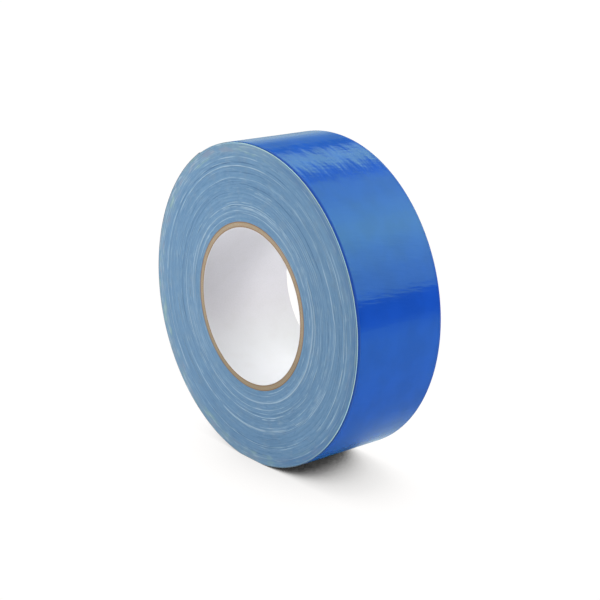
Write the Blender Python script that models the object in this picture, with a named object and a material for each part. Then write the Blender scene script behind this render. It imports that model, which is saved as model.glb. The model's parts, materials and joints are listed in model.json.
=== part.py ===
"""A roll of cloth-backed adhesive tape, standing on its edge.

The roll's axis lies along Y, and the floor is the plane Z = 0. The origin is on the floor, in the middle of
the roll's length. One long strip of tape is wound on a paper core. The core is spiral wound from a white liner
and four kraft plies, each a strip whose edges meet in a helical seam. The tape's free end is a chain of short
segments, hinged to one another across the tape, so that it can be peeled away from the roll.

Angles go round the roll's axis, from +X towards +Z. The tape's last turn runs towards falling angles, and its
radius grows as it goes.
"""

import math

import bmesh
import bpy

# Driving dimensions, in metres.
CORE_BORE_RADIUS = 0.0381
CORE_LENGTH = 0.0525
LINER_THICKNESS = 0.0003
PLY_THICKNESS = 0.00058
PLY_GAP = 0.0001
TAPE_WIDTH = 0.050
TAPE_THICKNESS = 0.000285
ROLL_RADIUS = 0.079
FLAT_DEPTH = 0.00045

# The helical seams: how wide each is, how far it turns along the core, and how far it is from the next ply's.
SEAM_WIDTH = 0.0004
SEAM_TWIST = math.radians(104)
SEAM_STAGGER = math.radians(115)
LINER_SEAM_ANGLE = math.radians(-30)

KRAFT_PLIES = ("inner", "second", "third", "outer")

# The free end: its tip, its length as a number of hinged segments, and the room round each of them.
TIP_ANGLE = math.radians(120)
SEGMENT_COUNT = 6
SEGMENT_FACETS = 3
HINGE_GAP = 0.0003
UNDER_GAP = 0.0001

# The facets that every round piece shares, so that neighbours nest with an even gap.
FACETS = 120
FACET_ANGLE = math.tau / FACETS
FLOOR_ANGLE = math.radians(270)

SEGMENT_ANGLE = SEGMENT_FACETS * FACET_ANGLE
ROOT_ANGLE = TIP_ANGLE + SEGMENT_COUNT * SEGMENT_ANGLE

# The tape and the core are flush in front, so the core stands proud behind.
FRONT_Y = -CORE_LENGTH / 2
CORE_BACK_Y = CORE_LENGTH / 2
TAPE_BACK_Y = FRONT_Y + TAPE_WIDTH
CUTTER_MARGIN = 0.002


def tape_radius(angle):
    """The outside of the last turn, which grows by one tape thickness over the turn that ends at the tip."""
    behind_tip = (angle - TIP_ANGLE) % math.tau
    return ROLL_RADIUS - TAPE_THICKNESS * behind_tip / math.tau


AXIS_HEIGHT = tape_radius(FLOOR_ANGLE) - FLAT_DEPTH
BASE_Z = 0.0


def point(radius, angle, y):
    """A point in the row frame, at a radius and an angle round the roll's axis."""
    return (radius * math.cos(angle), y, AXIS_HEIGHT + radius * math.sin(angle))


def on_floor(corner):
    """Presses a point up to the floor, which leaves the small flat that the roll stands on."""
    x, y, z = corner
    return (x, y, max(z, BASE_Z))


def material(name, colour, roughness):
    made = bpy.data.materials.new(name)
    made.use_nodes = True
    shader = made.node_tree.nodes["Principled BSDF"]
    shader.inputs["Base Color"].default_value = (*colour, 1.0)
    shader.inputs["Roughness"].default_value = roughness
    shader.inputs["Metallic"].default_value = 0.0
    return made


def link(name, mesh, finish):
    made = bpy.data.objects.new(name, mesh)
    made.data.materials.append(finish)
    bpy.context.scene.collection.objects.link(made)
    mesh.shade_smooth()
    mesh.set_sharp_from_angle(angle=math.radians(30))
    return made


def prism(name, outline, hole, front_y, back_y, finish):
    """A solid with one outline along Y, and a hole through it where hole isn't empty."""
    form = bmesh.new()

    def ring(corners, y):
        return [form.verts.new((x, y, z)) for x, _, z in corners]

    def join(first, second):
        for i, vert in enumerate(first):
            j = (i + 1) % len(first)
            form.faces.new((vert, first[j], second[j], second[i]))

    outer = [ring(outline, y) for y in (front_y, back_y)]
    join(*outer)
    if hole:
        inner = [ring(hole, y) for y in (front_y, back_y)]
        join(*inner)
        for around, inside in zip(outer, inner):
            rim = loop_edges(form, around) + loop_edges(form, inside)
            bmesh.ops.triangle_fill(form, use_beauty=True, edges=rim)
    else:
        for around in outer:
            form.faces.new(around)
    bmesh.ops.recalc_face_normals(form, faces=form.faces)
    mesh = bpy.data.meshes.new(name)
    form.to_mesh(mesh)
    form.free()
    return link(name, mesh, finish)


def loop_edges(form, verts):
    return [form.edges.get((vert, verts[(i + 1) % len(verts)])) for i, vert in enumerate(verts)]


def circle(radius):
    return [point(radius, i * FACET_ANGLE, 0) for i in range(FACETS)]


def seam_cutter(name, inner_radius, outer_radius, middle_angle):
    """A thin helical blade through a ply's wall, which parts the edges of the strip that the ply is wound from."""
    form = bmesh.new()
    low_y = FRONT_Y - CUTTER_MARGIN
    high_y = CORE_BACK_Y + CUTTER_MARGIN
    stations = round(SEAM_TWIST / FACET_ANGLE)
    rings = []
    for i in range(stations + 1):
        y = low_y + (high_y - low_y) * i / stations
        angle = middle_angle + SEAM_TWIST * y / CORE_LENGTH
        half = SEAM_WIDTH / (inner_radius + outer_radius)
        corners = (
            (inner_radius - PLY_THICKNESS, -half),
            (outer_radius + PLY_THICKNESS, -half),
            (outer_radius + PLY_THICKNESS, half),
            (inner_radius - PLY_THICKNESS, half),
        )
        rings.append([form.verts.new(point(radius, angle + turn, y)) for radius, turn in corners])
    for first, second in zip(rings, rings[1:]):
        for i in range(4):
            j = (i + 1) % 4
            form.faces.new((first[i], first[j], second[j], second[i]))
    form.faces.new(rings[0])
    form.faces.new(rings[-1])
    bmesh.ops.recalc_face_normals(form, faces=form.faces)
    mesh = bpy.data.meshes.new(name)
    form.to_mesh(mesh)
    form.free()
    cutter = bpy.data.objects.new(name, mesh)
    cutter.hide_render = True
    cutter.display_type = "WIRE"
    bpy.context.scene.collection.objects.link(cutter)
    return cutter


def core_ply(name, inner_radius, thickness, seam_angle, finish):
    """One strip of the core, wound into a tube with a helical seam."""
    outer_radius = inner_radius + thickness
    ply = prism(name, circle(outer_radius), circle(inner_radius), FRONT_Y, CORE_BACK_Y, finish)
    cut = ply.modifiers.new("seam", "BOOLEAN")
    cut.operation = "DIFFERENCE"
    cut.solver = "EXACT"
    cut.object = seam_cutter(name + "_seam", inner_radius, outer_radius, seam_angle)
    return ply


def core():
    """The liner, then the kraft plies round it. Returns the core's outer radius."""
    core_ply("core_liner", CORE_BORE_RADIUS, LINER_THICKNESS, LINER_SEAM_ANGLE,
             material("white_liner", (0.86, 0.86, 0.87), 0.6))
    kraft = material("kraft_board", (0.42, 0.30, 0.18), 0.85)
    radius = CORE_BORE_RADIUS + LINER_THICKNESS
    for number, place in enumerate(KRAFT_PLIES, 1):
        seam_angle = LINER_SEAM_ANGLE + number * SEAM_STAGGER
        core_ply("core_ply_" + place, radius + PLY_GAP, PLY_THICKNESS, seam_angle, kraft)
        radius += PLY_GAP + PLY_THICKNESS
    return radius


def wound_tape(core_radius, finish):
    """Every turn of the tape down to the root of the free end. It is one layer lower under the free end."""
    tip = round(TIP_ANGLE / FACET_ANGLE)
    root = round(ROOT_ANGLE / FACET_ANGLE)
    hinge_half = HINGE_GAP / 2 / ROLL_RADIUS
    outline = []
    for i in range(tip, root):
        angle = i * FACET_ANGLE
        outline.append(point(tape_radius(angle) - TAPE_THICKNESS - UNDER_GAP, angle, 0))
    step = ROOT_ANGLE + hinge_half
    outline.append(point(tape_radius(step) - TAPE_THICKNESS - UNDER_GAP, step, 0))
    outline.append(point(tape_radius(step), step, 0))
    for i in range(root + 1, tip + FACETS):
        angle = i * FACET_ANGLE
        outline.append(on_floor(point(tape_radius(angle), angle, 0)))
    return prism("wound_tape", outline, circle(core_radius + PLY_GAP), FRONT_Y, TAPE_BACK_Y, finish)


def free_end(finish):
    """The peelable end, as segments from the root to the tip. Each one's origin is on the hinge at its root side."""
    half = HINGE_GAP / 2 / ROLL_RADIUS
    for number in range(SEGMENT_COUNT):
        hinge = ROOT_ANGLE - number * SEGMENT_ANGLE
        far = hinge - SEGMENT_ANGLE
        angles = [hinge - half]
        angles += [hinge - i * FACET_ANGLE for i in range(1, SEGMENT_FACETS)]
        angles += [far if number == SEGMENT_COUNT - 1 else far + half]
        outside = [point(end_radius(angle), angle, 0) for angle in angles]
        inside = [point(end_radius(angle) - TAPE_THICKNESS, angle, 0) for angle in angles]
        segment = prism(
            f"tape_end_{number + 1}", outside + inside[::-1], [], FRONT_Y, TAPE_BACK_Y, finish
        )
        move_origin(segment, point(end_radius(hinge) - TAPE_THICKNESS / 2, hinge, 0))


def end_radius(angle):
    """The outside of the free end. Its tip is the end of the last turn, where tape_radius steps down."""
    return ROLL_RADIUS - TAPE_THICKNESS * max(angle - TIP_ANGLE, 0.0) / math.tau


def move_origin(part, origin):
    for vert in part.data.vertices:
        vert.co = [a - b for a, b in zip(vert.co, origin)]
    part.location = origin


def main():
    for old in list(bpy.data.objects):
        bpy.data.objects.remove(old)
    film = material("tape_film", (0.010, 0.075, 0.50), 0.25)
    core_radius = core()
    wound_tape(core_radius, film)
    free_end(film)


main()
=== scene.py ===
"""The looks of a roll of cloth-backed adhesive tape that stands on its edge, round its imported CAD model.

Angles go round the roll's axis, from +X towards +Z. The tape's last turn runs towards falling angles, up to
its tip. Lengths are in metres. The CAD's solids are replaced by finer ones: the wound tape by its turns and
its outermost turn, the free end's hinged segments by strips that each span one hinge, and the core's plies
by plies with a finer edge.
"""

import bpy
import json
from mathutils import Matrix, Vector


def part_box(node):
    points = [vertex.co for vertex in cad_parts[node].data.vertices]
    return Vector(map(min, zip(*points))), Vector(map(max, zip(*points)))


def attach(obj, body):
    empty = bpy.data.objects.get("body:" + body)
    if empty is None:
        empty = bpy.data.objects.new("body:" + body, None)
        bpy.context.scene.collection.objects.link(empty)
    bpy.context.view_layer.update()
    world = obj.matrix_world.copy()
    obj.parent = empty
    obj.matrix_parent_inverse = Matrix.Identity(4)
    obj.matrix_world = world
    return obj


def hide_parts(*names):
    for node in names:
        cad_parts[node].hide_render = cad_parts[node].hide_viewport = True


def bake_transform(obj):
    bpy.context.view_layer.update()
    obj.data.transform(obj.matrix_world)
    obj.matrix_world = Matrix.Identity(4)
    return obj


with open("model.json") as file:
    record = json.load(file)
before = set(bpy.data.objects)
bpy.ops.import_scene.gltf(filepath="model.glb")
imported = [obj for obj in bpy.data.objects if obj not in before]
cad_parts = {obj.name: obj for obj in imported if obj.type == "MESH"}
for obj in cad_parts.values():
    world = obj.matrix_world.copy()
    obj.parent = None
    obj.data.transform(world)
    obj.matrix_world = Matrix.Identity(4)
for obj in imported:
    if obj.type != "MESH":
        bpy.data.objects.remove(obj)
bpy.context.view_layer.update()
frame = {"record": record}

import json
import math

import bmesh
import bpy
import numpy as np
from mathutils import Vector

# ---------------------------------------------------------------------------------------------------------
# Sizes, read from the frame where the CAD gives them
# ---------------------------------------------------------------------------------------------------------


def outer_radius(node):
    """The outside radius of a round CAD node at rest."""
    low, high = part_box(node)
    return (high[0] - low[0]) / 2


MM = 0.001
TAPE_THICKNESS = 0.285 * MM
LINER_THICKNESS = 0.3 * MM

LINER_LOW, LINER_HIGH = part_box("core_liner")
AXIS_Z = (LINER_LOW[2] + LINER_HIGH[2]) / 2
FRONT_Y = LINER_LOW[1]
CORE_BACK_Y = LINER_HIGH[1]
TAPE_BACK_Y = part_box("wound_tape")[1][1]

HINGES = [Vector(joint["pos_m"]) for joint in frame["record"]["behaviour"]["joints"]]
HINGE_ANGLES = [math.atan2(at.z - AXIS_Z, at.x) for at in HINGES]
SEGMENT_ANGLE = HINGE_ANGLES[0] - HINGE_ANGLES[1]
TIP_ANGLE = HINGE_ANGLES[-1] - SEGMENT_ANGLE
ROOT_RADIUS = math.hypot(HINGES[0].x, HINGES[0].z - AXIS_Z) + TAPE_THICKNESS / 2
ROLL_RADIUS = ROOT_RADIUS + TAPE_THICKNESS * (HINGE_ANGLES[0] - TIP_ANGLE) / math.tau

CORE_OUTSIDE = outer_radius("core_ply_outer")
ROLL_MIDDLE = Vector((0.0, (FRONT_Y + TAPE_BACK_Y) / 2, AXIS_Z))

# The layers touch in the real roll. Here a hair's breadth stays between them, so that no two faces cross.
LAYER_GAP = 0.015 * MM

# Everything random is drawn from here, always in the same order, so that each run gives the same roll.
RANDOM = np.random.default_rng(12)


def smooth_step(value):
    """0 up to 0, 1 from 1 on, and a smooth step in between."""
    value = np.clip(value, 0.0, 1.0)
    return value * value * (3 - 2 * value)


# ---------------------------------------------------------------------------------------------------------
# Placing points on the roll
# ---------------------------------------------------------------------------------------------------------

# Where the sine of an angle is below minus this, the roll is near enough to the floor to be pressed by it.
NEAR_FLOOR = 0.5

# Beside the tip, the outer turns are a little slack and stand out.
SLACK_HEIGHT = 0.40 * MM
SLACK_MIDDLE = math.radians(124)
SLACK_REACH = math.radians(46)

# How deep into the roll the flat and the slack reach before they have died away.
SHIFTED_DEPTH = 9 * MM


def film_radius(behind_tip):
    """The outside of the tape, a given angle behind its tip along the winding."""
    return ROLL_RADIUS - TAPE_THICKNESS * np.asarray(behind_tip) / math.tau


def place(radius, angle, y):
    """Points in the row frame. The outer turns are pressed in by the floor, and stand out beside the tip."""
    radius, angle, y = np.broadcast_arrays(radius, angle, y)
    downward = -np.sin(angle)
    outside = film_radius((angle - TIP_ANGLE) % math.tau)
    to_floor = AXIS_Z / np.maximum(downward, NEAR_FLOOR)
    dent = np.maximum(outside - to_floor, 0.0) * (downward > NEAR_FLOOR)
    from_slack = np.abs((angle - SLACK_MIDDLE + math.pi) % math.tau - math.pi)
    slack = SLACK_HEIGHT * smooth_step(1 - from_slack / SLACK_REACH)
    share = smooth_step(1 - (outside - radius) / SHIFTED_DEPTH)
    radius = radius + (slack - dent) * share
    return np.stack((radius * np.cos(angle), y, AXIS_Z + radius * np.sin(angle)), axis=-1)


def wandering(length, spacing, reach=1.0):
    """A smooth random curve. Returns a function of a place between 0 and length."""
    count = math.ceil(length / spacing) + 4
    values = RANDOM.normal(0.0, reach, count)

    def curve(at):
        at = np.clip(np.asarray(at, float) / spacing, 0, count - 2)
        whole = np.floor(at).astype(int)
        part = smooth_step(at - whole)
        return values[whole] * (1 - part) + values[whole + 1] * part

    return curve


def waves_round(highest, reach):
    """A smooth random curve of an angle, the same after each full turn."""
    orders = np.arange(1, highest + 1)
    heights = RANDOM.normal(0.0, reach, highest) / np.sqrt(orders)
    phases = RANDOM.uniform(0, math.tau, highest)
    return lambda angle: (heights * np.cos(np.asarray(angle)[..., None] * orders + phases)).sum(-1)


# ---------------------------------------------------------------------------------------------------------
# Meshes
# ---------------------------------------------------------------------------------------------------------

# Faces that meet at more than this keep a sharp edge between them.
SHARP_ANGLE = math.radians(40)


def make_piece(name, points, faces, materials, material_of_face=None):
    """A mesh object with its faces pointing out."""
    mesh = bpy.data.meshes.new(name)
    mesh.from_pydata(np.asarray(points).reshape(-1, 3).tolist(), [], faces)
    for material in materials:
        mesh.materials.append(material)
    if material_of_face is not None:
        mesh.polygons.foreach_set("material_index", np.asarray(material_of_face, np.int32))
    form = bmesh.new()
    form.from_mesh(mesh)
    bmesh.ops.recalc_face_normals(form, faces=form.faces)
    form.to_mesh(mesh)
    form.free()
    mesh.shade_smooth()
    mesh.set_sharp_from_angle(angle=SHARP_ANGLE)
    mesh.validate()
    piece = bpy.data.objects.new(name, mesh)
    bpy.context.scene.collection.objects.link(piece)
    return piece


def swept_faces(stations, corners):
    """The quads of an outline of corners that is swept through stations, and the two flat ends."""
    faces = []
    for i in range(stations - 1):
        here = i * corners
        after = here + corners
        for j in range(corners):
            k = (j + 1) % corners
            faces.append((here + j, here + k, after + k, after + j))
    faces.append(tuple(range(corners)))
    faces.append(tuple(range((stations - 1) * corners, stations * corners)))
    return faces


def add_uv(piece, uv_of_point):
    """Gives each corner the UV of its point."""
    layer = piece.data.uv_layers.new(name="UVMap")
    points = np.zeros(len(piece.data.loops), np.int32)
    piece.data.loops.foreach_get("vertex_index", points)
    layer.data.foreach_set("uv", np.asarray(uv_of_point, np.float32)[points].ravel())


def add_attribute(piece, name, values):
    """Gives each point a number, for its material to read."""
    attribute = piece.data.attributes.new(name, "FLOAT", "POINT")
    attribute.data.foreach_set("value", np.asarray(values, np.float32).ravel())


# ---------------------------------------------------------------------------------------------------------
# Materials
# ---------------------------------------------------------------------------------------------------------


class Look:
    """A procedural material: a Principled BSDF and the nodes that feed it."""

    def __init__(self, name, **sockets):
        self.material = bpy.data.materials.new(name)
        self.material.use_nodes = True
        self.tree = self.material.node_tree
        self.shader = self.tree.nodes["Principled BSDF"]
        for socket, value in sockets.items():
            self.shader.inputs[socket.replace("_", " ")].default_value = value

    def node(self, kind, settings=None, **inputs):
        """Adds a node. Inputs are values or outputs of other nodes, by socket name or by number, as in i0."""
        made = self.tree.nodes.new(kind)
        for key, value in (settings or {}).items():
            setattr(made, key, value)
        for key, value in inputs.items():
            key = int(key[1:]) if key[0] == "i" and key[1:].isdigit() else key.replace("_", " ")
            if isinstance(value, bpy.types.NodeSocket):
                self.tree.links.new(value, made.inputs[key])
            else:
                made.inputs[key].default_value = value
        return made

    def math(self, operation, first, second=0.0, third=0.0):
        made = self.node("ShaderNodeMath", {"operation": operation}, i0=first, i1=second, i2=third)
        return made.outputs[0]

    def product(self, first, *others):
        for other in others:
            first = self.math("MULTIPLY", first, other)
        return first

    def vector(self, x, y, z):
        return self.node("ShaderNodeCombineXYZ", X=x, Y=y, Z=z).outputs[0]

    def between(self, value, low, high, new_low=0.0, new_high=1.0):
        """Maps low to high onto new_low to new_high, smoothly and with clamped ends."""
        made = self.node("ShaderNodeMapRange", {"interpolation_type": "SMOOTHSTEP"}, Value=value,
                         From_Min=low, From_Max=high, To_Min=new_low, To_Max=new_high)
        return made.outputs[0]

    def attribute(self, name):
        return self.node("ShaderNodeAttribute", {"attribute_name": name}).outputs["Fac"]

    def here(self):
        """The surface's place in the row frame."""
        return self.node("ShaderNodeTexCoord").outputs["Object"]

    def round_the_roll(self):
        """The surface's place round the roll: the angle's cosine and sine as a pair, the radius and y."""
        at = self.node("ShaderNodeSeparateXYZ", Vector=self.here()).outputs
        height = self.math("SUBTRACT", at["Z"], AXIS_Z)
        squares = (self.math("MULTIPLY", part, part) for part in (at["X"], height))
        radius = self.math("SQRT", self.math("ADD", *squares))
        angle = (self.math("DIVIDE", at["X"], radius), self.math("DIVIDE", height, radius))
        return angle, radius, at["Y"]

    def along_and_across(self):
        """The surface's place on the flat tape, along it from its tip and across it, as a pair."""
        where = self.node("ShaderNodeUVMap", {"uv_map": "UVMap"}).outputs[0]
        made = self.node("ShaderNodeSeparateXYZ", Vector=where)
        return made.outputs["X"], made.outputs["Y"]

    def noise(self, where, detail=2.0, roughness=0.5, scale=1.0):
        made = self.node("ShaderNodeTexNoise", Vector=where, Scale=scale, Detail=detail, Roughness=roughness)
        return made.outputs["Fac"]

    def noise_over(self, pair, scales, third, detail=2.0, roughness=0.5):
        """Noise over a pair of outputs, each with a scale of its own, and a third value or output."""
        x, y = (self.math("MULTIPLY", part, scale) for part, scale in zip(pair, scales))
        return self.noise(self.vector(x, y, third), detail, roughness)

    def mix(self, share, first, second, blend="MIX"):
        """Mixes two colours, each a tuple or an output. The node's colours are its inputs 6 and 7."""
        made = self.tree.nodes.new("ShaderNodeMix")
        made.data_type = "RGBA"
        made.blend_type = blend
        for socket, value in ((0, share), (6, first), (7, second)):
            if isinstance(value, bpy.types.NodeSocket):
                self.tree.links.new(value, made.inputs[socket])
            else:
                made.inputs[socket].default_value = value if socket == 0 else (*value, 1.0)
        return made.outputs[2]

    def feed(self, socket, output):
        self.tree.links.new(output, self.shader.inputs[socket])

    def paint(self, base, *coats):
        """Sets the colour: a base, and over it in turn each coat, a share and a colour."""
        for share, colour in coats:
            base = self.mix(share, base, colour)
        self.feed("Base Color", base)

    def bump(self, height, distance):
        self.feed("Normal", self.node("ShaderNodeBump", Height=height, Distance=distance).outputs[0])


FILM_BLUE = (0.0105, 0.083, 0.535)
FILM_MIRROR_TINT = (0.38, 1.0, 0.02, 1.0)
FILM_SHEEN_TINT = (0.0, 0.9, 0.8, 1.0)

# Along its edges the film is duller, and painted darker as painted shade for the darker surroundings that its
# rolled-down edges mirror, over this width, and less so behind than in front.
FILM_EDGE_SHADE = (0.001, 0.030, 0.40)
FILM_EDGE = 1.9 * MM
FILM_EDGE_FULL = 0.35 * FILM_EDGE
BACK_EDGE_SHARE = 0.3
EDGE_DULLNESS = 0.5

# The film's unevenness: how fine each kind is along and across the tape, and a value that tells it apart.
FILM_WARP = ((28.0, 1150.0), 0.0)
FILM_WEFT = ((620.0, 36.0), 3.0)
FILM_BROAD = ((70.0, 90.0), 7.0)
FILM_CREASES = ((60.0, 165.0), 11.0)
FILM_CROSSWAYS = ((260.0, 20.0), 15.0)
FILM_WISPS = ((640.0, 95.0), 21.0)
FILM_RELIEF = 0.010 * MM

# How far the wisps lean off the roll's axis.
WISP_LEAN = 0.17

# The stretch of the last turn where the film is creased, as angles behind the tip: start, full, fading, end.
CREASED = [math.radians(behind) for behind in (290, 299, 316, 325)]


def film_look():
    """Glossy blue film. The gauze under it shows through as faint ridges along and across the tape."""
    look = Look("blue_film", Specular_IOR_Level=0.9, Specular_Tint=FILM_MIRROR_TINT,
                Sheen_Weight=0.14, Sheen_Roughness=0.4, Sheen_Tint=FILM_SHEEN_TINT)
    flat = look.along_and_across()
    along, across = flat
    warp = look.noise_over(flat, *FILM_WARP)
    weft = look.noise_over(flat, *FILM_WEFT)
    broad = look.noise_over(flat, *FILM_BROAD)
    crossways = look.noise_over(flat, *FILM_CROSSWAYS)
    leaning = (look.math("MULTIPLY_ADD", across, WISP_LEAN, along), across)
    wisps = look.noise_over(leaning, *FILM_WISPS)
    start, full, fading, end = (behind * ROLL_RADIUS for behind in CREASED)
    creases = look.product(look.noise_over(flat, *FILM_CREASES), look.between(along, start, full),
                           look.between(along, end, fading))
    height = look.math("MULTIPLY", warp, 0.5)
    for ridges, weight in ((weft, 1.6), (broad, 2.2), (wisps, 7.0), (crossways, 5.0), (creases, 62.0)):
        height = look.math("MULTIPLY_ADD", ridges, weight, height)
    look.bump(height, FILM_RELIEF)
    tone = look.between(broad, 0.3, 0.7, 0.94, 1.06)
    base = look.mix(1.0, FILM_BLUE, look.vector(tone, tone, tone), "MULTIPLY")
    # Painted shade along the film's edges: darker blue where the rolled-down edges mirror darker
    # surroundings.
    at_front = look.between(across, FRONT_Y + FILM_EDGE, FRONT_Y + FILM_EDGE_FULL)
    at_back = look.between(across, TAPE_BACK_Y - FILM_EDGE, TAPE_BACK_Y - FILM_EDGE_FULL,
                           new_high=BACK_EDGE_SHARE)
    at_edge = look.math("MAXIMUM", at_front, at_back)
    look.paint(base, (at_edge, FILM_EDGE_SHADE))
    gloss = look.between(warp, 0.3, 0.75, 0.08, 0.15)
    look.feed("Roughness", look.math("MULTIPLY_ADD", at_edge, EDGE_DULLNESS, gloss))
    return look.material


# The colours of the cut turns, and what varies them.
TURN_BLUES = ((0.114, 0.236, 0.400), (0.152, 0.295, 0.478))
FINE_RING = (0.19, 0.34, 0.50)
GRAIN = (0.075, 0.16, 0.29)
MOTTLE = (0.19, 0.29, 0.40)
PALE_DASH = (0.26, 0.39, 0.51)
DARK_DASH = (0.085, 0.185, 0.335)
# Painted light for the rim's left side and painted shade for its right side, as the light falls from the
# left.
RIM_PAINTED_LIGHT = (0.205, 0.325, 0.44)
RIM_PAINTED_SHADE = (0.092, 0.205, 0.385)
# Turns that stand out: their pale thread ends, partly a painted highlight. Turns that lie back: painted
# shade.
PALE_THREADS_AND_HIGHLIGHT = (0.36, 0.50, 0.63)
SUNKEN_TURN_SHADE = (0.06, 0.145, 0.29)
GREENISH_TUFT = (0.25, 0.40, 0.40)
PINKISH_TUFT = (0.25, 0.285, 0.39)
PALE_STREAK = (0.42, 0.55, 0.63)

# Bare adhesive on a cut edge, from greener to bluer.
BARE_ADHESIVE = ((0.52, 0.72, 0.65), (0.44, 0.73, 0.82))

# How many turns deep the rim's painted light and shade, the frayed gauze and the bare adhesive start, and
# where they're full.
RIM_TURNS = (22.0, 9.0)
FRAYED_TURNS = (26.0, 13.0)
BARE_TURNS = (2.9, 1.5)


def cut_side_look():
    """The tape's cut edges: film, gauze and adhesive, too fine to part, in rings that vary round the roll.
    Painted light lies on the rim's left and painted shade on its right, turns that stand out get a painted
    highlight, and turns that lie back get painted shade.
    """
    look = Look("cut_turns", Roughness=0.78, Specular_IOR_Level=0.3)
    angle, radius, _ = look.round_the_roll()
    cosine, sine = angle
    tone = look.attribute("relief_highlight_and_shade")
    deep = look.attribute("turns_deep")
    grain = look.noise(look.here(), 3.0, 0.6, 2400.0)
    mottle = look.noise(look.here(), 2.0, 0.6, 150.0)

    def rings(scale, width, detail=2.0, roughness=0.5):
        """Noise in rings about as wide as width, that change faster along the ring the larger scale is."""
        across_rings = look.math("MULTIPLY", radius, 1 / width)
        return look.noise_over(angle, (scale, scale), across_rings, detail, roughness)

    broad = rings(2.2, 0.9 * MM, detail=3.0)
    fine = rings(9.0, 0.33 * MM)
    dashes = rings(16.0, 0.7 * MM, roughness=0.6)
    streaks = rings(8.0, 0.75 * MM)
    tufts = rings(7.0, 2.6 * MM)
    patches = look.noise_over(angle, (4.0, 4.0), 0.0, detail=3.0)

    rim = look.between(deep, *RIM_TURNS)
    lit_leftward = look.between(cosine, 0.45, -0.1)
    shaded_rightward = look.between(cosine, 0.1, 0.5, 0.0, 0.75)
    frayed = look.product(look.between(deep, *FRAYED_TURNS), look.between(cosine, 0.5, -0.4, 0.3, 1.0))
    bare = look.product(look.between(deep, *BARE_TURNS), look.between(cosine, -0.45, 0.1, 0.1, 1.0),
                        look.between(sine, -0.9, -0.45, 0.15, 1.0))
    look.paint(
        look.mix(look.between(broad, 0.25, 0.75), *TURN_BLUES),
        (look.between(fine, 0.3, 0.7, 0.0, 0.30), FINE_RING),
        (look.between(grain, 0.55, 0.8, 0.0, 0.22), GRAIN),
        (look.between(mottle, 0.5, 0.75, 0.0, 0.35), MOTTLE),
        (look.between(dashes, 0.55, 0.72, 0.0, 0.4), PALE_DASH),
        (look.between(dashes, 0.44, 0.28, 0.0, 0.45), DARK_DASH),
        # Painted light, in patches, on the rim's left, and painted shade on its right.
        (look.product(rim, lit_leftward, look.between(mottle, 0.35, 0.6, 0.25, 0.8)), RIM_PAINTED_LIGHT),
        (look.product(rim, shaded_rightward), RIM_PAINTED_SHADE),
        # Painted highlight, over pale thread ends, on turns that stand out, and painted shade on turns that
        # lie back.
        (look.between(tone, 0.12, 1.0, 0.0, 0.85), PALE_THREADS_AND_HIGHLIGHT),
        (look.between(tone, -0.12, -1.0, 0.0, 0.7), SUNKEN_TURN_SHADE),
        (look.product(frayed, look.between(tufts, 0.56, 0.68, 0.0, 0.75)), GREENISH_TUFT),
        (look.product(frayed, look.between(tufts, 0.44, 0.33, 0.0, 0.5)), PINKISH_TUFT),
        (look.product(frayed, look.between(streaks, 0.53, 0.72, 0.0, 0.7)), PALE_STREAK),
        (bare, look.mix(look.between(patches, 0.42, 0.6), *BARE_ADHESIVE)),
    )
    look.bump(look.math("MULTIPLY_ADD", grain, 0.5, fine), 0.05 * MM)
    return look.material


# The last turn's edge is cut cleanly from the tip back to the first of these angles behind it, and shows bare
# adhesive from the second one on.
CLEANLY_CUT = [math.radians(behind) for behind in (178, 214)]
CLEAN_EDGE = ((0.20, 0.31, 0.41), (0.30, 0.36, 0.40))
BARE_EDGE = ((0.58, 0.79, 0.70), (0.48, 0.79, 0.88))
THREAD_END = (0.25, 0.34, 0.38)


def strip_edge_look():
    """The cut edge of the outermost turn: blue-grey near the tip, and pale further back, greener or bluer."""
    look = Look("strip_edge", Roughness=0.7)
    flat = look.along_and_across()
    along = flat[0]
    patches = look.noise_over(flat, (55.0, 0.0), 0.0, detail=3.0)
    threads = look.noise_over(flat, (900.0, 0.0), 5.0)
    start, end = (behind * ROLL_RADIUS for behind in CLEANLY_CUT)
    look.paint(
        look.mix(look.between(patches, 0.42, 0.6), *BARE_EDGE),
        (look.between(threads, 0.45, 0.75, 0.0, 0.35), THREAD_END),
        (look.between(along, end, start), look.mix(look.between(patches, 0.4, 0.6), *CLEAN_EDGE)),
    )
    look.bump(threads, 0.03 * MM)
    return look.material


ADHESIVE = (0.36, 0.43, 0.50)
GAUZE = (0.62, 0.64, 0.63)
WARP_SPACING = 0.75 * MM
WEFT_SPACING = 1.1 * MM


def adhesive_look():
    """The sticky side: off-white rubber over cotton gauze, whose threads cross at right angles."""
    look = Look("gauze_and_adhesive")
    flat = look.along_and_across()
    along, across = flat
    warp = look.math("SINE", look.math("MULTIPLY", across, math.tau / WARP_SPACING))
    weft = look.math("SINE", look.math("MULTIPLY", along, math.tau / WEFT_SPACING))
    uneven = look.noise_over(flat, (260.0, 260.0), 0.0, detail=3.0)
    weave = look.math("MAXIMUM", look.math("POWER", look.between(warp, 0.1, 1.0), 2.0),
                      look.math("POWER", look.between(weft, 0.2, 1.0), 2.0))
    weave = look.product(weave, look.between(uneven, 0.2, 0.8, 0.5, 1.0))
    look.paint(ADHESIVE, (weave, GAUZE))
    look.feed("Roughness", look.between(uneven, 0.3, 0.7, 0.28, 0.5))
    look.bump(weave, 0.06 * MM)
    return look.material


KRAFT = ((0.40, 0.295, 0.19), (0.56, 0.455, 0.325))
KRAFT_BETWEEN_PLIES = (0.24, 0.165, 0.10)
# Painted shade for the lower part of the ring, where less light falls.
KRAFT_SHADE_BELOW = (0.29, 0.225, 0.14)
KRAFT_AT_CORNERS = (0.25, 0.13, 0.05)
KRAFT_SPECK = (0.17, 0.12, 0.075)


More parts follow.
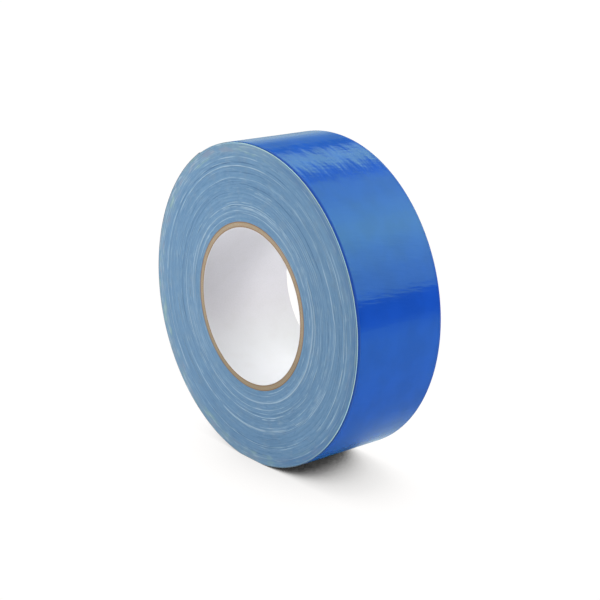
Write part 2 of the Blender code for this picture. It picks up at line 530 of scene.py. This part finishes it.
def kraft_look():
    """Raw kraft board: short fibres and specks, darker between its plies and along its corners, with painted
    shade towards its bottom.
    """
    look = Look("kraft_board", Roughness=0.88)
    angle, radius, _ = look.round_the_roll()
    sine = angle[1]
    fibres = look.noise_over(angle, (70.0, 70.0), look.math("MULTIPLY", radius, 9000.0), 4.0, 0.6)
    specks = look.noise(look.here(), 4.0, 0.7, 1500.0)
    plies = look.noise(look.vector(0.0, 0.0, look.math("MULTIPLY", radius, 3800.0)), 1.0)
    board_middle = (LINER_HIGH[0] + CORE_OUTSIDE) / 2
    half_board = (CORE_OUTSIDE - LINER_HIGH[0]) / 2
    off_middle = look.math("ABSOLUTE", look.math("SUBTRACT", radius, board_middle))
    at_corners = look.between(off_middle, half_board - 0.7 * MM, half_board - 0.2 * MM, 0.0, 0.8)
    look.paint(
        look.mix(look.between(fibres, 0.3, 0.7), *KRAFT),
        (look.between(plies, 0.35, 0.65, 0.0, 0.35), KRAFT_BETWEEN_PLIES),
        # Painted shade: darker towards the bottom of the ring.
        (look.between(sine, 0.2, -0.8, 0.0, 0.5), KRAFT_SHADE_BELOW),
        (at_corners, KRAFT_AT_CORNERS),
        (look.between(specks, 0.58, 0.72, 0.0, 0.5), KRAFT_SPECK),
    )
    look.bump(look.math("ADD", fibres, specks), 0.08 * MM)
    return look.material


LINER_WHITES = ((0.752, 0.739, 0.772), (0.722, 0.711, 0.742))
LINER_BELOW = (0.738, 0.753, 0.776)
LINER_GHOST = (0.66, 0.65, 0.65)


def liner_look():
    """Smooth white paper, with a faint tooth and the ghost of the board's grain under it."""
    look = Look("white_liner", Roughness=0.55)
    angle, _, y = look.round_the_roll()
    sine = angle[1]
    tooth = look.noise(look.here(), 4.0, 0.6, 1300.0)
    ghost = look.noise_over(angle, (5.0, 5.0), look.math("MULTIPLY", y, 130.0), 3.0)
    look.paint(
        look.mix(look.between(tooth, 0.35, 0.7), *LINER_WHITES),
        (look.between(sine, -0.2, -0.9, 0.0, 0.85), LINER_BELOW),
        (look.between(ghost, 0.45, 0.8, 0.0, 0.25), LINER_GHOST),
    )
    look.bump(look.math("MULTIPLY_ADD", tooth, 0.15, ghost), 0.04 * MM)
    return look.material


# ---------------------------------------------------------------------------------------------------------
# The wound turns
# ---------------------------------------------------------------------------------------------------------

TURN_COLUMNS = 320
TURNS_INSIDE = CORE_OUTSIDE + LAYER_GAP
TURNS_OUTSIDE = ROLL_RADIUS - TAPE_THICKNESS - LAYER_GAP
TURN_COUNT = math.ceil((TURNS_OUTSIDE - TURNS_INSIDE) / TAPE_THICKNESS)

# How far the turns' edges stray along the axis: all of them, in bands, and each by itself. A band lasts for
# some turns, and a turn by itself strays anew after a small part of a turn.
DISH = 0.05 * MM
DISH_WAVES = 3
BAND_REACH = 0.035 * MM
BAND_TURNS = 7.0
STRAY_REACH = 0.014 * MM
STRAY_TURNS = 0.09
# How much paler a band or a turn is painted where it stands out, as painted highlight, and darker where it
# lies back, as painted shade.
BAND_HIGHLIGHT_AND_SHADE = 0.13
STRAY_HIGHLIGHT_AND_SHADE = 0.12

# The sides are set in a little from the tape's full width, so that what strays outwards stays within it.
SIDE_INSET = 0.04 * MM

# How far the turns stray in and out, half-way through the roll, in how many waves at most to a turn, and how
# fast that changes from turn to turn, in radians.
OUT_OF_ROUND = 0.20 * MM
OUT_OF_ROUND_WAVES = 22
OUT_OF_ROUND_TWIST = 0.11

# Ridges are stretches of turn that stand out or lie back. There are this many on a side, and the weakest and
# the strongest stand out so far.
RIDGE_COUNT = 310
RIDGE_HEIGHTS = (0.05 * MM, 0.17 * MM)

# The lengths of ridges, in turns, and how far one may differ from its length, as a factor.
RIDGE_TURNS = (0.03, 0.05, 0.08, 0.13, 0.20, 0.28, 0.36)
LENGTH_SPREAD = (0.6, 1.4)

# A ridge's strength. It's down to a share of itself for the shortest, and whole from this length on.
RIDGE_STRENGTHS = (0.25, 1.0)
SHORT_SHARE = 0.4
RIDGE_LONG = 0.16

# How many turns wide ridges are, how blunt their ends are, and the most that flutter can lift them to.
RIDGE_WIDTHS = (1, 1, 1, 1, 1, 1, 1, 2)
RIDGE_BLUNTNESS = 0.6
RIDGE_PEAK = 1.4

# How often a ridge's height flutters along it, in turns, and by how much.
FLUTTER_TURNS = 0.010
FLUTTER_REACH = 0.5

# A share of the ridges lie in clusters, this many turns wide, and a share lie back and are painted darker, as
# painted shade.
CLUSTER_COUNT = 9
CLUSTER_SHARE = 0.22
CLUSTER_TURNS = 2.6
LYING_BACK_SHARE = 0.25
LYING_BACK_SHADE = 0.9

# Over the outermost turns the ridges' painted highlight and shade fade out, and over the last two their
# height does.
CALM_TURNS = 7
FLUSH_TURNS = 2


def side_relief(turn, share):
    """How far each turn's edge stands out, with a painted highlight where it stands out and painted shade
    where it lies back, on one side of the roll.

    turn counts the strip's turns from the core, and share is how far round the present one it is, so that
    turn - share runs along the strip without a break. The order of the random draws sets the pattern.
    """
    along = turn - share
    angle = share * math.tau
    band = wandering(TURN_COUNT, BAND_TURNS)
    stray = wandering(TURN_COUNT, STRAY_TURNS)
    lean = waves_round(DISH_WAVES, 1.0)
    relief = BAND_REACH * band(along) + STRAY_REACH * stray(along)
    relief += DISH * lean(angle) * (turn / TURN_COUNT)
    tone = STRAY_HIGHLIGHT_AND_SHADE * stray(along) + BAND_HIGHLIGHT_AND_SHADE * band(along)
    clusters = RANDOM.uniform(0.0, TURN_COUNT, CLUSTER_COUNT)
    lowest, highest = RIDGE_HEIGHTS
    for _ in range(RIDGE_COUNT):
        start = RANDOM.uniform(0.0, TURN_COUNT)
        if RANDOM.random() < CLUSTER_SHARE:
            start = np.clip(RANDOM.normal(RANDOM.choice(clusters), CLUSTER_TURNS), 0.0, TURN_COUNT)
        length = RANDOM.choice(RIDGE_TURNS) * RANDOM.uniform(*LENGTH_SPREAD)
        whole = SHORT_SHARE + (1 - SHORT_SHARE) * min(1.0, length / RIDGE_LONG)
        strength = RANDOM.uniform(*RIDGE_STRENGTHS) * whole
        flutter = wandering(length + 2 * FLUTTER_TURNS, FLUTTER_TURNS, FLUTTER_REACH)
        shape = 0.0
        for turns_out in range(RANDOM.choice(RIDGE_WIDTHS)):
            run = along - turns_out - start
            inside = (run > 0) & (run < length)
            run = np.where(inside, run, 0.0)
            one = np.sin(math.pi * run / length) ** RIDGE_BLUNTNESS * strength * (1 + flutter(run))
            shape = shape + np.where(inside, np.clip(one, 0.0, RIDGE_PEAK), 0.0)
        if RANDOM.random() < LYING_BACK_SHARE:
            tone -= LYING_BACK_SHADE * shape
            relief -= lowest * shape
        else:
            tone += shape
            relief += (lowest + (highest - lowest) * strength) * shape
    return relief, tone


def make_turns(look_side, look_film):
    """Every turn but the last, as one solid. Each side has one row of points to a turn, along the spiral."""
    turn = np.arange(TURN_COUNT + 1)[:, None]
    share = (np.arange(TURN_COLUMNS) / TURN_COLUMNS)[None, :]
    angle = TIP_ANGLE + share * math.tau
    deep = TURN_COUNT - turn + share
    radius = np.maximum(TURNS_OUTSIDE - TAPE_THICKNESS * deep, TURNS_INSIDE)
    flush = smooth_step((turn - TURN_COUNT + FLUSH_TURNS) / FLUSH_TURNS)
    half_way = np.sin(math.pi * turn / TURN_COUNT) ** 2
    sides = []
    relief_highlights_and_shades = []
    for y, outward in ((FRONT_Y, -1), (TAPE_BACK_Y, 1)):
        relief, tone = side_relief(turn, share)
        waves = waves_round(OUT_OF_ROUND_WAVES, 1.0)(angle) * np.sin(turn * OUT_OF_ROUND_TWIST + outward)
        wavy = radius + OUT_OF_ROUND * half_way * waves
        sides.append(place(wavy, angle, y + outward * (relief * (1 - flush) - SIDE_INSET)))
        relief_highlights_and_shades.append(tone * smooth_step((TURN_COUNT - turn) / CALM_TURNS))
    points = np.concatenate([side.reshape(-1, 3) for side in sides])

    def at(side, k, i):
        """The number of the point on a side, in row k and column i. A full turn leads to the row below."""
        if i == TURN_COLUMNS:
            k, i = max(k - 1, 0), 0
        return (side * (TURN_COUNT + 1) + k) * TURN_COLUMNS + i

    faces = []
    for i in range(TURN_COLUMNS):
        for k in range(TURN_COUNT):
            for side in (0, 1):
                # Where the spiral starts, two corners are the same, and the face has three.
                corners = (at(side, k, i), at(side, k, i + 1), at(side, k + 1, i + 1), at(side, k + 1, i))
                faces.append(tuple(dict.fromkeys(corners)))
        faces.append((at(0, 0, i), at(1, 0, i), at(1, 0, i + 1), at(0, 0, i + 1)))
    side_faces = len(faces)
    last = TURN_COUNT
    for i in range(TURN_COLUMNS):
        faces.append((at(0, last, i), at(0, last, i + 1), at(1, last, i + 1), at(1, last, i)))
    faces.append((at(0, last, 0), at(1, last, 0), at(1, last - 1, 0), at(0, last - 1, 0)))
    look_of_face = [0] * side_faces + [1] * (len(faces) - side_faces)
    piece = make_piece("wound_turns", points, faces, (look_side, look_film), look_of_face)
    grid = (2, TURN_COUNT + 1, TURN_COLUMNS)
    # Each point's painted highlight and shade, for the cut side's look.
    add_attribute(piece, "relief_highlight_and_shade", np.stack(relief_highlights_and_shades))
    add_attribute(piece, "turns_deep", np.broadcast_to(deep, grid))
    run = np.broadcast_to(share * math.tau * ROLL_RADIUS, grid).ravel()
    add_uv(piece, np.stack((run, points[:, 1]), axis=-1))
    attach(piece, "roll")
    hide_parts("wound_tape")


# ---------------------------------------------------------------------------------------------------------
# The outermost turn and the free end
# ---------------------------------------------------------------------------------------------------------

STRIP_STEP = math.radians(1.0)

# The rows of points across the strip's outside, how strongly they crowd towards its edges, and which of them
# its inside has too.
STRIP_ROWS = 46
ROW_CROWDING = 0.9
INSIDE_ROW_STEP = 6

# The strip's edges are rolled down over this width, by this much.
EDGE_ROLL = 0.9 * MM
EDGE_DROP = 0.05 * MM

# The tip stands off the turn under it.
TIP_LIFT = 0.08 * MM
TIP_LIFT_ANGLE = math.radians(4)

# The film's waves: each one's radians to a metre along and across the tape, its phase and its strength.
WAVE_COUNT = 14
WAVE_HEIGHT = 0.010 * MM
FILM_WAVES = [
    (RANDOM.uniform(90, 420), RANDOM.uniform(60, 420), RANDOM.uniform(0, math.tau), RANDOM.uniform(0.3, 1.0))
    for _ in range(WAVE_COUNT)
]

# A wave's phase across the tape is its phase along it times this.
PHASE_STRETCH = 2.3

# Which of the strip's looks a face takes.
FILM_FACE, EDGE_FACE, ADHESIVE_FACE = range(3)


def film_waves(behind_tip, y):
    """The film isn't quite even: broad, very shallow waves over its surface."""
    run = behind_tip * ROLL_RADIUS
    total = 0.0
    for along, across, phase, strength in FILM_WAVES:
        total = total + strength * np.sin(along * run + phase) * np.cos(across * y + PHASE_STRETCH * phase)
    return WAVE_HEIGHT * total / math.sqrt(WAVE_COUNT)


def strip_outline():
    """The strip's section: places across it, how deep each is in the strip, and the look of the next face."""
    width = TAPE_BACK_Y - FRONT_Y
    spread = np.linspace(0, 1, STRIP_ROWS)
    outer = FRONT_Y + width * (spread - ROW_CROWDING * np.sin(math.tau * spread) / math.tau)
    depth = TAPE_THICKNESS - 2 * LAYER_GAP
    inner = outer[::-INSIDE_ROW_STEP]
    across = np.concatenate((outer, inner))
    depths = np.concatenate((np.zeros(len(outer)), np.full(len(inner), depth)))
    looks = [FILM_FACE] * (len(outer) - 1) + [EDGE_FACE] + [ADHESIVE_FACE] * (len(inner) - 1) + [EDGE_FACE]
    return across, depths, looks


def make_strip(name, first_angle, last_angle, looks):
    """A stretch of the tape's last turn, between two angles behind the tip, as a thin solid.

    looks holds the film's, the cut edge's and the adhesive's.
    """
    across, depths, look_of_face = strip_outline()
    stations = max(2, round(abs(last_angle - first_angle) / STRIP_STEP) + 1)
    behind = np.linspace(first_angle, last_angle, stations)[:, None]
    on_top = depths == 0
    edge = np.minimum(across - FRONT_Y, TAPE_BACK_Y - across)
    roll_down = EDGE_DROP * np.clip(1 - edge / EDGE_ROLL, 0, 1) ** 2
    lift = TIP_LIFT * np.clip(1 - behind / TIP_LIFT_ANGLE, 0, 1) ** 2
    radius = film_radius(behind) - depths + lift
    radius = radius + np.where(on_top, film_waves(behind, across) - roll_down, 0.0)
    points = place(radius, TIP_ANGLE + behind, across[None, :])
    faces = swept_faces(stations, len(across))
    cut_ends = [EDGE_FACE] * 2
    piece = make_piece(name, points, faces, looks, look_of_face * (stations - 1) + cut_ends)
    run, y = np.broadcast_arrays(behind * ROLL_RADIUS, across)
    add_uv(piece, np.stack((run.ravel(), y.ravel()), axis=-1))
    return piece


def make_free_end(looks):
    """The free end: strips that each span one hinge and meet half-way between hinges, and the tip, which
    rides on the last segment.
    """
    half = SEGMENT_ANGLE / 2
    bodies = ["roll"] + [f"end_{number + 1}" for number in range(len(HINGES))]
    for number, (angle, before, after) in enumerate(zip(HINGE_ANGLES, bodies, bodies[1:]), 1):
        behind = angle - TIP_ANGLE
        strip = make_strip(f"peel_strip_{number}", behind - half, behind + half, looks)
        middle = film_radius(behind) - TAPE_THICKNESS / 2
        start, end = (Vector(place(middle, angle + turn, 0.0)) for turn in (half, -half))
        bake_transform(strip)
        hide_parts(f"tape_end_{number}")
    tip = make_strip("peel_tip", 0.0, half, looks)
    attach(tip, bodies[-1])


def make_last_turn(looks):
    """The rest of the last turn, from the free end's root to under the tip."""
    first = HINGE_ANGLES[0] - TIP_ANGLE + SEGMENT_ANGLE / 2
    piece = make_strip("outermost_turn", first, math.tau, looks)
    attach(piece, "roll")


# ---------------------------------------------------------------------------------------------------------
# The core
# ---------------------------------------------------------------------------------------------------------

CORE_COLUMNS = 240
CORE_ROWS = 9
PLY_END_ROWS = 3

# The seams run round the core by the twist from its front to its back. Each ply's lies further round than the
# one inside it.
SEAM_TWIST = math.radians(104)
SEAM_GAP = 0.12 * MM
FIRST_SEAM = math.radians(-30)
SEAM_SHIFT = math.radians(115)

# The plies' ends: how far their edges are rounded off, and how far the cut strays, in how many waves at most.
PLY_EDGE = 0.05 * MM
CUT_ROUGHNESS = 0.012 * MM
CUT_WAVES = 40


def make_ply(name, inside, outside, seam_angle, look, node):
    """One strip of the core, wound into a tube. Its two edges meet in a helical seam."""
    rows = np.linspace(FRONT_Y, CORE_BACK_Y, CORE_ROWS)
    rows[0] += PLY_EDGE
    rows[-1] -= PLY_EDGE
    round_off = min(PLY_EDGE, (outside - inside) / 3)
    end_radii = np.linspace(inside + round_off, outside - round_off, PLY_END_ROWS)
    around = ((np.full(CORE_ROWS, outside), rows), (end_radii[::-1], np.full(PLY_END_ROWS, CORE_BACK_Y)),
              (np.full(CORE_ROWS, inside), rows[::-1]), (end_radii, np.full(PLY_END_ROWS, FRONT_Y)))
    radii, ys = (np.concatenate(part) for part in zip(*around))
    half_gap = SEAM_GAP / 2 / inside
    sweep = np.linspace(half_gap, math.tau - half_gap, CORE_COLUMNS)[:, None]
    middle_y = (FRONT_Y + CORE_BACK_Y) / 2
    angle = seam_angle + sweep + SEAM_TWIST * (ys[None, :] - middle_y) / (CORE_BACK_Y - FRONT_Y)
    rough = waves_round(CUT_WAVES, CUT_ROUGHNESS)
    at_end = np.isin(ys, (FRONT_Y, CORE_BACK_Y))
    ys = ys[None, :] + np.where(at_end, np.sign(middle_y - ys) * np.abs(rough(angle)), 0.0)
    points = place(np.broadcast_to(radii, angle.shape), angle, ys)
    faces = swept_faces(CORE_COLUMNS, len(radii))
    piece = make_piece(name, points, faces, (look,))
    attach(piece, "roll")
    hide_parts(node)


def make_core(kraft, white):
    """The liner, and round it the four kraft plies."""
    nodes = ("core_liner", "core_ply_inner", "core_ply_second", "core_ply_third", "core_ply_outer")
    outsides = [outer_radius(node) for node in nodes]
    insides = [outsides[0] - LINER_THICKNESS] + [radius + LAYER_GAP for radius in outsides[:-1]]
    looks = [white] + [kraft] * 4
    slots = ["liner"] + ["kraft"] * 4
    for number, (node, inside, outside, look, slot) in enumerate(zip(nodes, insides, outsides, looks, slots)):
        name = node.replace("core_", "paper_")
        make_ply(name, inside, outside, FIRST_SEAM + SEAM_SHIFT * number, look, node)


# ---------------------------------------------------------------------------------------------------------
# The studio
# ---------------------------------------------------------------------------------------------------------

CAMERA_AZIMUTH = math.radians(51.211)
CAMERA_ELEVATION = math.radians(16.565)
CAMERA_DISTANCE = 0.68477
CAMERA_LENS = 84.15
SENSOR_WIDTH = 36.0

# How far the camera is moved to its right and upwards, out of line with the roll's middle.
CAMERA_SLIDE = (0.00450, -0.00118)

# What gloss mirrors of the sky: angles above the floor in degrees, as seen along the roll's axis, and how
# bright, green and blue the sky is there.
SKY_STOPS = (
    (-180, 0.18, 1.0, 1.0), (-12, 0.03, 1.0, 1.0), (5.5, 0.03, 1.0, 0.6), (9.5, 0.98, 0.94, 0.4),
    (20, 1.17, 0.92, 0.5), (36, 1.36, 0.92, 0.5), (54, 1.82, 0.97, 0.4), (70, 1.5, 1.02, 0.2),
    (88, 1.0, 1.08, 0.2), (98, 0.65, 1.12, 0.2), (105, 0.2, 1.15, 0.3), (111, 0.48, 1.14, 0.3),
    (118, 1.0, 1.19, 0.3), (124, 1.12, 1.21, 0.3), (130, 0.84, 1.21, 0.3), (136, 0.38, 1.17, 0.5),
    (143, 0.07, 1.0, 0.6), (150, 0.07, 1.0, 0.8), (157, 0.18, 1.2, 0.8), (163, 0.31, 1.2, 0.85),
    (172, 0.52, 1.12, 0.95), (180, 0.66, 1.08, 0.9),
)
SKY_PEAK = 4.0

# The front half of the sky is the back half turned round, at this share of its brightness. The two blend into
# each other up to this far to either side of the plane across the roll's axis.
NEAR_SKY_SHARE = 0.6
SKY_BLEND = 0.25

# What lights the matt surfaces: a dome that is a little brighter towards where it leans.
DOME_LIGHT = 0.22
DOME_LEAN = Vector((-0.20, 0.0, 0.0))

# How bright the sky itself looks to the camera.
BACKDROP_LIGHT = 1.1

WHITE = (1.0, 1.0, 1.0, 1.0)

# The lamps: the way to each from the roll's middle, its distance, size and power, and whether gloss shows it.
LAMPS = (
    ("front_left_lamp", Vector((-0.72, -0.62, 0.30)), 0.42, 0.45, 0.73, True),
    ("front_top_lamp", Vector((-0.25, -0.55, 0.90)), 0.60, 0.40, 1.78, False),
    ("right_lamp", Vector((1.00, 0.00, 0.02)), 0.60, 0.40, 0.30, False),
    ("back_right_lamp", Vector((0.60, 0.55, 0.62)), 0.70, 0.40, 3.25, False),
    ("back_lamp", Vector((-0.35, 0.72, 0.60)), 0.70, 0.50, 1.95, False),
)

FLOOR_REACH = 6.0

# What the camera sees of the floor is a glow with a painted shadow: its slightly warm tint, how bright it
# glows in the open, and its brightness against how open it is at that place. Openness is measured up to the
# shadow's reach, round the way the shadow leans.
FLOOR_SHADOW_TINT = (1.0, 0.99, 0.983, 1.0)
FLOOR_WHITE = 1.03
SHADOW_REACH = 0.10
SHADOW_LEAN = Vector((-0.4, 0.3, 1.0)).normalized()
SHADOW_SAMPLES = 32
SHADOW_STOPS = (
    (0.05, 0.01), (0.103, 0.03), (0.113, 0.09), (0.124, 0.19), (0.137, 0.30), (0.16, 0.42), (0.20, 0.55),
    (0.28, 0.71), (0.34, 0.785), (0.42, 0.835), (0.48, 0.89), (0.56, 0.94), (0.64, 0.975), (0.70, 1.0),
)

# What matt surfaces get from the floor: the light it gives back, and a glow of its own.
FLOOR_BOUNCE = 0.85
FLOOR_GLOW = 0.16

# What gloss mirrors of the floor: its tint, how bright it is near the roll and far away, and the distances
# between which it fades. Far to the left it's bright again, and behind the roll, but for its right end, it's
# brighter. Each of those is a range of places and the range it's mapped onto.
FLOOR_TINT = (0.89, 0.98, 1.0)
FLOOR_MIRRORED = (0.36, 0.02)
FLOOR_FADE = (0.20, 0.80)
FLOOR_FAR_LEFT = (-0.45, -0.90, 0.0, 0.85)
FLOOR_CLEAR_X = (0.070, 0.030, 0.0, 1.0)
FLOOR_CLEAR_Y = (0.0, 0.030, 0.0, 1.0)
FLOOR_CLEARER = 1.2


def make_camera():
    """A camera that looks at the roll from its front right, a little from above."""
    back = Vector((math.sin(CAMERA_AZIMUTH) * math.cos(CAMERA_ELEVATION),
                   -math.cos(CAMERA_AZIMUTH) * math.cos(CAMERA_ELEVATION), math.sin(CAMERA_ELEVATION)))
    right = Vector((math.cos(CAMERA_AZIMUTH), math.sin(CAMERA_AZIMUTH), 0.0))
    up = right.cross(-back)
    data = bpy.data.cameras.new("camera")
    data.lens = CAMERA_LENS
    data.sensor_width = SENSOR_WIDTH
    data.clip_start = 0.01
    data.clip_end = 100.0
    camera = bpy.data.objects.new("camera", data)
    slide = right * CAMERA_SLIDE[0] + up * CAMERA_SLIDE[1]
    camera.location = ROLL_MIDDLE + back * CAMERA_DISTANCE + slide
    camera.rotation_mode = "QUATERNION"
    camera.rotation_quaternion = (-back).to_track_quat("-Z", "Y")
    bpy.context.scene.collection.objects.link(camera)
    bpy.context.scene.camera = camera


class LightTree:
    """The nodes of the world or of the floor, which answer each kind of ray in its own way."""

    def __init__(self, owner):
        owner.use_nodes = True
        self.tree = owner.node_tree
        self.tree.nodes.clear()
        self.path = self.tree.nodes.new("ShaderNodeLightPath").outputs

    def node(self, kind, *inputs, **settings):
        made = self.tree.nodes.new(kind)
        for key, value in settings.items():
            setattr(made, key, value)
        for socket, value in zip(made.inputs, inputs):
            if isinstance(value, bpy.types.NodeSocket):
                self.tree.links.new(value, socket)
            elif value is not None:
                socket.default_value = value
        return made.outputs

    def math(self, operation, *values):
        return self.node("ShaderNodeMath", *values, operation=operation)[0]

    def between(self, value, low, high, new_low=0.0, new_high=1.0, interpolation="SMOOTHSTEP"):
        """Maps low to high onto new_low to new_high, with clamped ends."""
        return self.node("ShaderNodeMapRange", value, low, high, new_low, new_high,
                         interpolation_type=interpolation)[0]

    def scaled(self, colour, share):
        """A colour times a number, each a value or an output."""
        return self.node("ShaderNodeVectorMath", colour, None, None, share, operation="SCALE")["Vector"]

    def ramp(self, at, stops, interpolation):
        """A curve through stops, each a place from 0 to 1 and then a height, or a red, a green and a blue."""
        made = self.node("ShaderNodeValToRGB", at)[0]
        curve = made.node.color_ramp
        curve.interpolation = interpolation
        while len(curve.elements) < len(stops):
            curve.elements.new(0.5)
        for element, (place_on_ramp, *colour) in zip(curve.elements, stops):
            element.position = place_on_ramp
            element.color = (*colour, 1.0) if len(colour) == 3 else (*colour * 3, 1.0)
        return made

    def by_ray(self, camera, glossy, rest):
        """Picks one of three shaders, by the kind of ray that asks."""
        inner = self.node("ShaderNodeMixShader", self.path["Is Glossy Ray"], rest, glossy)[0]
        return self.node("ShaderNodeMixShader", self.path["Is Camera Ray"], inner, camera)[0]


def make_world():
    """A white tent. Gloss sees bands of light in it, the same from the front right as from the back left."""
    world = bpy.data.worlds.new("studio")
    bpy.context.scene.world = world
    world.cycles.sampling_method = "NONE"
    nodes = LightTree(world)
    way = nodes.node("ShaderNodeTexCoord")["Generated"]
    x, y, z = nodes.node("ShaderNodeSeparateXYZ", way)

    def band(sideways):
        """The sky's colour against the angle above the floor, as a share of its peak."""
        turn = nodes.math("MULTIPLY_ADD", nodes.math("ARCTAN2", z, sideways), 1 / math.tau, 0.5)
        stops = [(degrees / 360 + 0.5, *(bright * tint / SKY_PEAK for tint in (1.0, green, blue)))
                 for degrees, bright, green, blue in SKY_STOPS]
        return nodes.ramp(turn, stops, "EASE")

    back_share = nodes.between(y, -SKY_BLEND, SKY_BLEND)
    near_share = nodes.math("MULTIPLY_ADD", back_share, -NEAR_SKY_SHARE, NEAR_SKY_SHARE)
    behind = nodes.scaled(band(x), back_share)
    near = nodes.scaled(band(nodes.math("MULTIPLY", x, -1.0)), near_share)
    mirrored = nodes.node("ShaderNodeVectorMath", behind, near, operation="ADD")["Vector"]
    lean = nodes.node("ShaderNodeVectorMath", way, DOME_LEAN, operation="DOT_PRODUCT")["Value"]
    shades = ((WHITE, BACKDROP_LIGHT), (mirrored, SKY_PEAK), (WHITE, nodes.math("ADD", lean, DOME_LIGHT)))
    shaders = [nodes.node("ShaderNodeBackground", colour, strength)[0] for colour, strength in shades]
    nodes.node("ShaderNodeOutputWorld", nodes.by_ray(*shaders))


def make_lamps():
    """Round soft lamps that face the roll."""
    for name, way, distance, size, power, mirrored in LAMPS:
        data = bpy.data.lights.new(name, "AREA")
        data.shape = "DISK"
        data.size = size
        data.energy = power
        lamp = bpy.data.objects.new(name, data)
        lamp.location = ROLL_MIDDLE + way.normalized() * distance
        lamp.rotation_mode = "QUATERNION"
        lamp.rotation_quaternion = way.to_track_quat("Z", "Y")
        lamp.visible_camera = False
        lamp.visible_glossy = mirrored
        bpy.context.scene.collection.objects.link(lamp)


def make_floor():
    """A pale floor that looks white round the roll, with a soft painted shadow under it: to the camera it
    glows, darker where it is less open.
    """
    material = bpy.data.materials.new("floor")
    nodes = LightTree(material)
    position = nodes.node("ShaderNodeNewGeometry")["Position"]
    distance = nodes.node("ShaderNodeVectorMath", position, operation="LENGTH")["Value"]
    x, y, _ = nodes.node("ShaderNodeSeparateXYZ", position)

    leaning = nodes.node("ShaderNodeCombineXYZ", *SHADOW_LEAN)[0]
    openness = nodes.node("ShaderNodeAmbientOcclusion", None, SHADOW_REACH, leaning,
                          samples=SHADOW_SAMPLES)["AO"]
    # The painted shadow: the floor's glow is dimmed where less is open above it.
    white = nodes.math("MULTIPLY", nodes.ramp(openness, SHADOW_STOPS, "LINEAR"), FLOOR_WHITE)
    seen = nodes.node("ShaderNodeEmission", FLOOR_SHADOW_TINT, white)[0]

    near = nodes.between(distance, *FLOOR_FADE, *FLOOR_MIRRORED)
    far_left = nodes.between(x, *FLOOR_FAR_LEFT, interpolation="LINEAR")
    clear = nodes.math("MULTIPLY", nodes.between(x, *FLOOR_CLEAR_X, interpolation="LINEAR"),
                       nodes.between(y, *FLOOR_CLEAR_Y, interpolation="LINEAR"))
    mirrored = nodes.math("MULTIPLY", nodes.math("MAXIMUM", near, far_left),
                          nodes.math("MULTIPLY_ADD", clear, FLOOR_CLEARER, 1.0))
    mirrored = nodes.node("ShaderNodeBsdfDiffuse", nodes.scaled(FLOOR_TINT, mirrored))[0]

    glow = nodes.node("ShaderNodeEmission", WHITE, FLOOR_GLOW)[0]
    bounced = nodes.node("ShaderNodeBsdfDiffuse", (FLOOR_BOUNCE, FLOOR_BOUNCE, FLOOR_BOUNCE, 1.0))[0]
    bounced = nodes.node("ShaderNodeAddShader", bounced, glow)[0]
    nodes.node("ShaderNodeOutputMaterial", nodes.by_ray(seen, mirrored, bounced))

    mesh = bpy.data.meshes.new("floor")
    corners = [(x_way * FLOOR_REACH, y_way * FLOOR_REACH, 0)
               for x_way, y_way in ((-1, -1), (1, -1), (1, 1), (-1, 1))]
    mesh.from_pydata(corners, [], [(0, 1, 2, 3)])
    mesh.materials.append(material)
    floor = bpy.data.objects.new("floor", mesh)
    bpy.context.scene.collection.objects.link(floor)


def main():
    make_camera()
    make_world()
    make_lamps()
    make_floor()
    film = film_look()
    side = cut_side_look()
    strip_looks = (film, strip_edge_look(), adhesive_look())
    make_turns(side, film)
    make_last_turn(strip_looks)
    make_free_end(strip_looks)
    make_core(kraft_look(), liner_look())
    bpy.context.scene.view_settings.view_transform = "Standard"


main()
